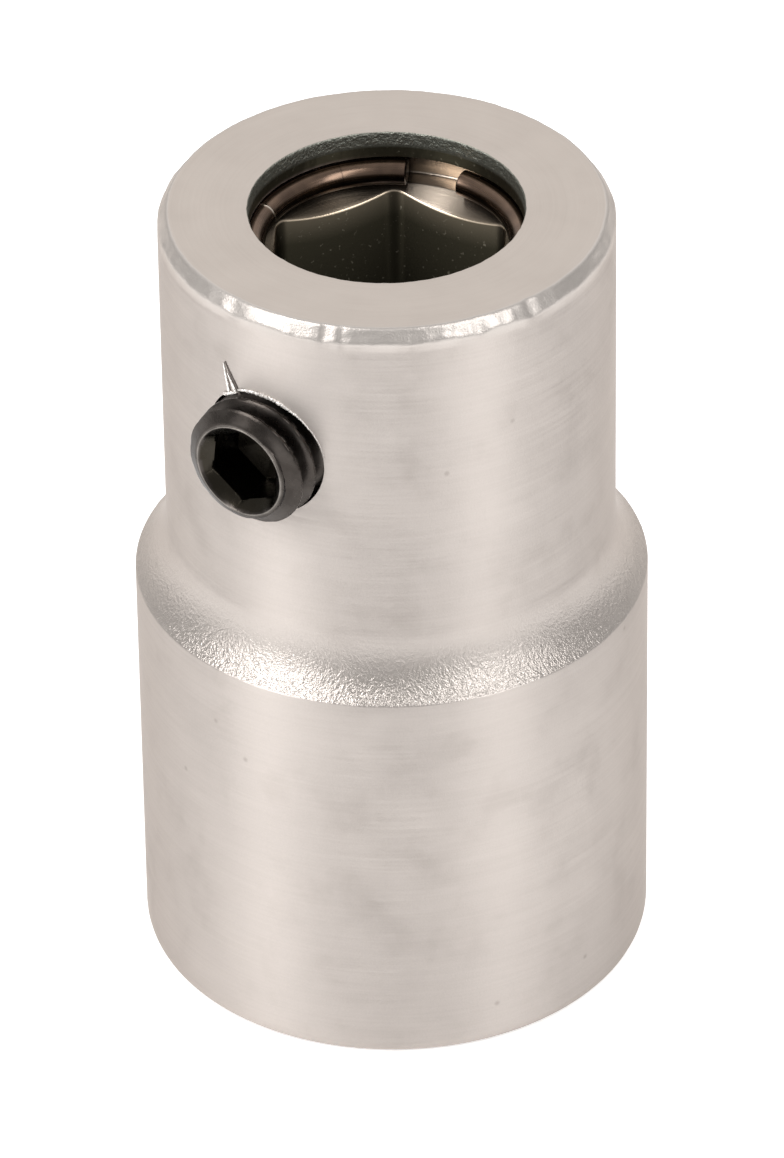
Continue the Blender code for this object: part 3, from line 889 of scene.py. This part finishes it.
def plated_steel():
    """Satin nickel with turning lines, a pebbled shoulder, worn edges, specks, and dull bores darkened
    with painted shade.
    """
    n = Nodes("nickel_plated_steel")
    place = n.place()
    lathe = n.noise(n.around_z(place, LATHE_LINES, LATHE_DRIFT), 1.0, detail=3.0)
    grain = n.noise(place, FINE_GRAIN, detail=2.0, roughness=0.6)
    coarse_grain = n.noise(place, COARSE_GRAIN, detail=2.0, roughness=0.6)
    cloud = n.noise(place, CLOUDS, detail=3.0, roughness=0.55)
    pits = n.noise(place, LAND_PITS, detail=3.0, roughness=0.7)
    shoulder = n.attribute("shoulder")
    edge = n.attribute("edge")
    land = n.attribute("land")
    mouth = n.attribute("mouth")
    rough_skin = n.math("MAXIMUM", shoulder, n.math("MAXIMUM", edge, land))

    roughness = n.span(cloud, 0.3, 0.7, *PLATED_ROUGHNESS)
    roughness = n.math("ADD", roughness, n.span(lathe, 0.3, 0.7, -0.03, 0.03))
    roughness = n.mix_value(rough_skin, roughness, BLASTED_ROUGHNESS)
    roughness = n.mix_value(edge, roughness, EDGE_ROUGHNESS)
    roughness = n.mix_value(mouth, roughness, MOUTH_ROUGHNESS)
    roughness = n.mix_value(n.attribute("bore"), roughness, BORE_ROUGHNESS)

    lathe_share = n.math("SUBTRACT", 1.0, rough_skin, clamp=True)
    blasted = n.math("MAXIMUM", shoulder, n.math("MULTIPLY", edge, 0.2))
    blasted = n.math("MAXIMUM", blasted, land)
    normal = n.bump(lathe, LATHE_LINE_DEPTH, lathe_share)
    normal = n.bump(grain, FINE_GRAIN_DEPTH, 1.0, normal)
    normal = n.bump(lathe, MOUTH_LINE_DEPTH, mouth, normal)
    normal = n.bump(coarse_grain, BLAST_DEPTH, blasted, normal)
    normal = n.bump(grain, BLAST_GRAIN_DEPTH, blasted, normal)
    normal = n.bump(pits, LAND_PIT_DEPTH, land, normal)

    n.shader.inputs["Specular Tint"].default_value = NICKEL_RIM
    n.shader.inputs["Anisotropic Rotation"].default_value = 0.25
    flat_share = n.math("SUBTRACT", 1.0, n.math("MULTIPLY", n.attribute("top_face"), 0.8))
    turned = n.math("MULTIPLY", lathe_share, flat_share)
    n.put(n.shader.inputs["Anisotropic"], n.math("MULTIPLY", turned, 0.85))
    tangent = n.node("ShaderNodeTangent", 0, {"direction_type": "RADIAL", "axis": "Z"})
    n.put(n.shader.inputs["Tangent"], tangent)
    return n.finish(nickel_colour(n, place, lathe, grain, cloud), roughness, normal)


def spring_wire():
    """Brown drawn wire, with lines along it."""
    n = Nodes("spring_wire")
    place = n.place()
    drawn = n.noise(n.around_z(place, WIRE_LINES, WIRE_DRIFT), 1.0, detail=2.0)
    cloud = n.noise(place, WIRE_CLOUDS, detail=2.0)
    colour = n.mix(n.span(cloud, 0.35, 0.7), WIRE_BROWN, WIRE_DARK_BROWN)
    colour = n.layer(colour, "bright_mark", 1.0, WIRE_BRIGHT_LINE)
    # a dark scratch, and painted shade on the cut ends
    colour = n.layer(colour, "scratch_and_end_shade", 1.0, WIRE_SCRATCH_AND_SHADE)
    roughness = n.span(drawn, 0.3, 0.7, *WIRE_ROUGHNESS)
    return n.finish(colour, roughness, n.bump(drawn, WIRE_LINE_DEPTH))


def black_oxide():
    """Blackened steel, rubbed lighter along the key socket's rim, with painted shade inside the socket.
    """
    n = Nodes("black_oxide_steel")
    place = n.place()
    grain = n.noise(place, OXIDE_GRAIN, detail=3.0)
    cloud = n.noise(place, OXIDE_CLOUDS, detail=3.0)
    colour = n.mix(n.span(cloud, 0.35, 0.7), OXIDE_BLACK, OXIDE_GREY)
    # painted shade inside the key socket
    colour = n.layer(colour, "key", 0.7, KEY_PAINTED_SHADE)
    rubbed = n.math("MULTIPLY", n.attribute("rim"), n.span(cloud, 0.35, 0.7, 0.35, 0.8))
    colour = n.mix(rubbed, colour, OXIDE_RUBBED)
    roughness = n.span(cloud, 0.3, 0.7, *OXIDE_ROUGHNESS)
    return n.finish(colour, roughness, n.bump(grain, OXIDE_GRAIN_DEPTH))


def put_on(piece, material, body, node):
    piece.data.materials.clear()
    piece.data.materials.append(material)
    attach(piece, body)
    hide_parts(node)


# ---- studio and camera ----

def direction(azimuth, elevation):
    """The unit vector from the part towards a place at this azimuth and elevation."""
    level = cos(elevation)
    return Vector((sin(azimuth) * level, -cos(azimuth) * level, sin(elevation)))


def make_camera():
    back = direction(CAMERA_AZIMUTH, CAMERA_ELEVATION)
    level_right = Vector((cos(CAMERA_AZIMUTH), sin(CAMERA_AZIMUTH), 0.0))
    level_up = back.cross(level_right)
    right = level_right * cos(CAMERA_ROLL) + level_up * sin(CAMERA_ROLL)
    up = back.cross(right)
    placing = Matrix((right, up, back)).transposed().to_4x4()
    placing.translation = Vector((0.0, 0.0, CAMERA_AIM_HEIGHT)) + back * CAMERA_DISTANCE
    data = bpy.data.cameras.new("camera")
    data.lens = LENS_MM
    data.sensor_width = SENSOR_MM
    data.clip_start = NEAREST_SEEN
    data.clip_end = FURTHEST_SEEN
    camera = link(bpy.data.objects.new("camera", data))
    camera.matrix_world = placing
    bpy.context.scene.camera = camera


def softbox(name, azimuth, width, power):
    """A rectangular light that faces the part from an azimuth counted from the camera's own."""
    data = bpy.data.lights.new(name, "AREA")
    data.shape = "RECTANGLE"
    data.size = width
    data.size_y = SOFTBOX_HEIGHT
    data.energy = power
    light = link(bpy.data.objects.new(name, data))
    towards = direction(CAMERA_AZIMUTH + azimuth, SOFTBOX_ELEVATION)
    light.location = towards * SOFTBOX_DISTANCE + Vector((0.0, 0.0, CAMERA_AIM_HEIGHT))
    light.rotation_mode = "QUATERNION"
    light.rotation_quaternion = towards.to_track_quat("Z", "Y")


def make_sky():
    """An even white sky that brightens towards a place behind the part."""
    world = bpy.data.worlds.new("studio")
    bpy.context.scene.world = world
    world.use_nodes = True
    nodes = world.node_tree.nodes
    links = world.node_tree.links
    background = nodes["Background"]
    background.inputs["Color"].default_value = WHITE
    sky = nodes.new("ShaderNodeTexCoord")
    facing = nodes.new("ShaderNodeVectorMath")
    facing.operation = "DOT_PRODUCT"
    facing.inputs[1].default_value = direction(CAMERA_AZIMUTH + pi, BRIGHT_SKY_ELEVATION)
    links.new(sky.outputs["Generated"], facing.inputs[0])
    ahead = nodes.new("ShaderNodeMath")
    ahead.operation = "MAXIMUM"
    ahead.inputs[1].default_value = 0.0
    links.new(facing.outputs["Value"], ahead.inputs[0])
    falloff = nodes.new("ShaderNodeMath")
    falloff.operation = "POWER"
    falloff.inputs[1].default_value = BRIGHT_SKY_FOCUS
    links.new(ahead.outputs[0], falloff.inputs[0])
    strength = nodes.new("ShaderNodeMath")
    strength.operation = "MULTIPLY_ADD"
    strength.inputs[1].default_value = BRIGHT_SKY
    strength.inputs[2].default_value = PLAIN_SKY
    links.new(falloff.outputs[0], strength.inputs[0])
    links.new(strength.outputs[0], background.inputs["Strength"])


def floor_material():
    """White and faintly glowing from above, and clear from below."""
    material = bpy.data.materials.new("floor")
    material.use_nodes = True
    nodes = material.node_tree.nodes
    links = material.node_tree.links
    shader = nodes["Principled BSDF"]
    shader.inputs["Base Color"].default_value = FLOOR_WHITE
    shader.inputs["Emission Color"].default_value = WHITE
    shader.inputs["Emission Strength"].default_value = FLOOR_GLOW
    shader.inputs["Roughness"].default_value = FLOOR_ROUGHNESS
    side = nodes.new("ShaderNodeNewGeometry")
    clear = nodes.new("ShaderNodeBsdfTransparent")
    mixed = nodes.new("ShaderNodeMixShader")
    links.new(side.outputs["Backfacing"], mixed.inputs[0])
    links.new(shader.outputs[0], mixed.inputs[1])
    links.new(clear.outputs[0], mixed.inputs[2])
    links.new(mixed.outputs[0], nodes["Material Output"].inputs["Surface"])
    return material


def make_floor():
    mesh = bpy.data.meshes.new("floor")
    half = FLOOR_HALF_WIDTH
    corners = [(-half, -half, 0.0), (half, -half, 0.0), (half, half, 0.0), (-half, half, 0.0)]
    mesh.from_pydata(corners, [], [(0, 1, 2, 3)])
    mesh.materials.append(floor_material())
    floor = link(bpy.data.objects.new("floor", mesh))
    floor.location.z = -FLOOR_DROP


def make_studio():
    bpy.context.scene.view_settings.view_transform = "Standard"
    make_sky()
    make_floor()
    softbox("left_softbox", azimuth=radians(-58), width=0.18, power=1.6)
    softbox("right_softbox", azimuth=radians(48), width=0.16, power=1.0)


make_camera()
make_studio()
put_on(make_sleeve(), plated_steel(), "sleeve", "socket_body")
put_on(make_ring(), spring_wire(), "ring", "retaining_ring")
put_on(make_screw(), black_oxide(), "screw", "set_screw")
